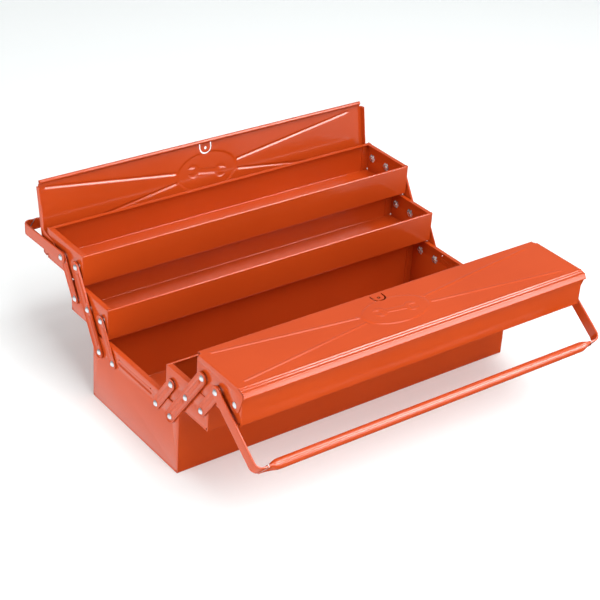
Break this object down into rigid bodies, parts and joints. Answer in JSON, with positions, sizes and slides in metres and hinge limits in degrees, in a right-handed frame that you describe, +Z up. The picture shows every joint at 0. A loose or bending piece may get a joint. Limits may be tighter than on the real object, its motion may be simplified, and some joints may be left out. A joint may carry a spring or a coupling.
{
  "type": "cantilever toolbox",
  "caption": "Folded sheet steel toolbox whose lidded trays swing out to both sides on riveted link arms, with swinging tube handles.",
  "frame": {"origin": "middle of the base's underside, on the surface it stands on", "axes": "+X along the box to the right-hand end, +Y from the closed front side to the back side whose lid stands open, +Z up"},
  "size_m": [0.5448, 0.5487, 0.2454],
  "materials": {
    "paint": "semi-gloss",
    "zinc": "satin"
  },
  "bodies": {
    "base": {"base_trough": "paint", "base_end_left": "paint", "base_end_right": "paint", "base_rivets": "zinc", "base_caps": "zinc"},
    "front_mid_tray": {"front_mid_trough": "paint", "front_mid_end_left": "paint", "front_mid_end_right": "paint", "front_mid_rivets": "zinc", "front_mid_caps": "zinc"},
    "front_top_tray": {"front_top_trough": "paint", "front_top_end_left": "paint", "front_top_end_right": "paint", "front_top_rivets": "zinc", "front_top_caps": "zinc"},
    "front_cover": {"front_lid": "paint"},
    "front_long_links": {"front_long_link_left": "paint", "front_long_link_right": "paint"},
    "front_inner_links": {"front_inner_link_left": "paint", "front_inner_link_right": "paint"},
    "front_outer_links": {"front_outer_link_left": "paint", "front_outer_link_right": "paint"},
    "front_handle": {"front_grip": "paint", "front_arm_left": "paint", "front_arm_right": "paint"},
    "back_mid_tray": {"back_mid_trough": "paint", "back_mid_end_left": "paint", "back_mid_end_right": "paint", "back_mid_rivets": "zinc", "back_mid_caps": "zinc"},
    "back_top_tray": {"back_top_trough": "paint", "back_top_end_left": "paint", "back_top_end_right": "paint", "back_top_rivets": "zinc", "back_top_caps": "zinc"},
    "back_cover": {"back_lid": "paint"},
    "back_long_links": {"back_long_link_left": "paint", "back_long_link_right": "paint"},
    "back_inner_links": {"back_inner_link_left": "paint", "back_inner_link_right": "paint"},
    "back_outer_links": {"back_outer_link_left": "paint", "back_outer_link_right": "paint"},
    "back_handle": {"back_grip": "paint", "back_arm_left": "paint", "back_arm_right": "paint"}
  },
  "joints": [
    {"name": "front_trays", "type": "hinge", "parent": "base", "child": "front_long_links", "pos_m": [0, -0.0828, 0.075], "axis": [-1, 0, 0], "range_deg": [0, 70.6]},
    {"name": "front_inner_link_turn", "type": "hinge", "parent": "base", "child": "front_inner_links", "pos_m": [0, -0.0508, 0.075], "axis": [-1, 0, 0], "range_deg": [0, 70.6]},
    {"name": "front_mid_tray_turn", "type": "hinge", "parent": "front_long_links", "child": "front_mid_tray", "pos_m": [0, -0.1148, 0.1202], "axis": [-1, 0, 0], "range_deg": [-70.6, 0]},
    {"name": "front_outer_link_turn", "type": "hinge", "parent": "front_mid_tray", "child": "front_outer_links", "pos_m": [0, -0.1468, 0.1202], "axis": [-1, 0, 0], "range_deg": [0, 70.6]},
    {"name": "front_top_tray_turn", "type": "hinge", "parent": "front_long_links", "child": "front_top_tray", "pos_m": [0, -0.1468, 0.1654], "axis": [-1, 0, 0], "range_deg": [-70.6, 0]},
    {"name": "front_lid_hinge", "type": "hinge", "parent": "front_top_tray", "child": "front_cover", "pos_m": [0, -0.2108, 0.1654], "axis": [1, 0, 0], "range_deg": [0, 100.5]},
    {"name": "front_handle_swing", "type": "hinge", "parent": "front_top_tray", "child": "front_handle", "pos_m": [0, -0.1788, 0.1654], "axis": [-1, 0, 0], "range_deg": [-5, 151.5]},
    {"name": "back_trays", "type": "hinge", "parent": "base", "child": "back_long_links", "pos_m": [0, 0.0828, 0.075], "axis": [1, 0, 0], "range_deg": [-3.4, 67.2]},
    {"name": "back_inner_link_turn", "type": "hinge", "parent": "base", "child": "back_inner_links", "pos_m": [0, 0.0508, 0.075], "axis": [1, 0, 0], "range_deg": [-3.4, 67.2]},
    {"name": "back_mid_tray_turn", "type": "hinge", "parent": "back_long_links", "child": "back_mid_tray", "pos_m": [0, 0.11207, 0.12202], "axis": [1, 0, 0], "range_deg": [-67.2, 3.4]},
    {"name": "back_outer_link_turn", "type": "hinge", "parent": "back_mid_tray", "child": "back_outer_links", "pos_m": [0, 0.14407, 0.12202], "axis": [1, 0, 0], "range_deg": [-3.4, 67.2]},
    {"name": "back_top_tray_turn", "type": "hinge", "parent": "back_long_links", "child": "back_top_tray", "pos_m": [0, 0.14133, 0.16903], "axis": [1, 0, 0], "range_deg": [-67.2, 3.4]},
    {"name": "back_lid_hinge", "type": "hinge", "parent": "back_top_tray", "child": "back_cover", "pos_m": [0, 0.20533, 0.16903], "axis": [1, 0, 0], "range_deg": [0, 100.5]},
    {"name": "back_handle_swing", "type": "hinge", "parent": "back_top_tray", "child": "back_handle", "pos_m": [0, 0.17333, 0.16903], "axis": [1, 0, 0], "range_deg": [-39, 35]}
  ],
  "couplings": [
    {"joint": "front_inner_link_turn", "follows": "front_trays", "ratio": 1},
    {"joint": "front_mid_tray_turn", "follows": "front_trays", "ratio": -1},
    {"joint": "front_outer_link_turn", "follows": "front_trays", "ratio": 1},
    {"joint": "front_top_tray_turn", "follows": "front_trays", "ratio": -1},
    {"joint": "back_inner_link_turn", "follows": "back_trays", "ratio": 1},
    {"joint": "back_mid_tray_turn", "follows": "back_trays", "ratio": -1},
    {"joint": "back_outer_link_turn", "follows": "back_trays", "ratio": 1},
    {"joint": "back_top_tray_turn", "follows": "back_trays", "ratio": -1}
  ]
}
